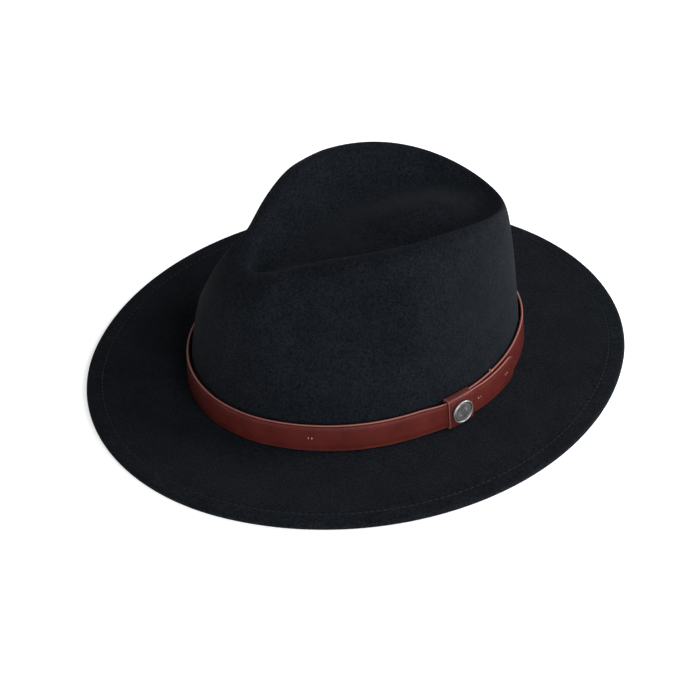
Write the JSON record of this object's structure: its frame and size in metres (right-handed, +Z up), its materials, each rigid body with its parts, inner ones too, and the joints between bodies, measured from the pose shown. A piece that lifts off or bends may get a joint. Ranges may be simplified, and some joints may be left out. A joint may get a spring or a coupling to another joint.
{
  "type": "fedora hat",
  "caption": "Wide-brimmed black felt fedora with a teardrop crown, a red-brown leather band, a sliding keeper loop and a round metal stud.",
  "frame": {"origin": "middle of the brim, on the surface that the hat rests on", "axes": "+Z up through the crown, -Y towards the front of the hat, +X towards the wearer's left, where the keeper and stud are"},
  "size_m": [0.298, 0.328, 0.113],
  "materials": {
    "black_felt": "fuzzy wool felt, matte",
    "black_thread": "matte thread",
    "brown_thread": "matte thread",
    "red_brown_leather": "smooth, semi-gloss",
    "antique_silver": "antique silver plating, semi-gloss",
    "spring_steel": "bright drawn steel",
    "black_sweatband": "ribbed grosgrain",
    "clear_reed": "smooth plastic",
    "black_ribbon": "satin ribbon",
    "hook_pad": "hook and loop tape",
    "label_cloth": "woven label, blank"
  },
  "bodies": {
    "hat": {"felt_body": "black_felt", "brim_edge_thread": "black_thread", "brim_wire": "spring_steel", "brim_wire_sleeve": "spring_steel", "hatband_strap": "red_brown_leather", "band_tacks": "brown_thread", "sweatband": "black_sweatband", "sweatband_reed": "clear_reed", "sweatband_thread": "black_thread", "sweatband_bow": "black_ribbon", "size_tape": "black_ribbon", "size_tape_hook_pad": "hook_pad", "size_tape_loop_pad": "hook_pad", "size_label": "label_cloth"},
    "keeper": {"keeper_loop": "red_brown_leather", "stud_cap": "antique_silver", "stud_post": "spring_steel"}
  },
  "joints": [
    {"name": "keeper_slide", "type": "hinge", "parent": "hat", "child": "keeper", "pos_m": [-0.02365, 0, 0], "axis": [0, 0, 1], "range_deg": [-40, 2.5]}
  ]
}
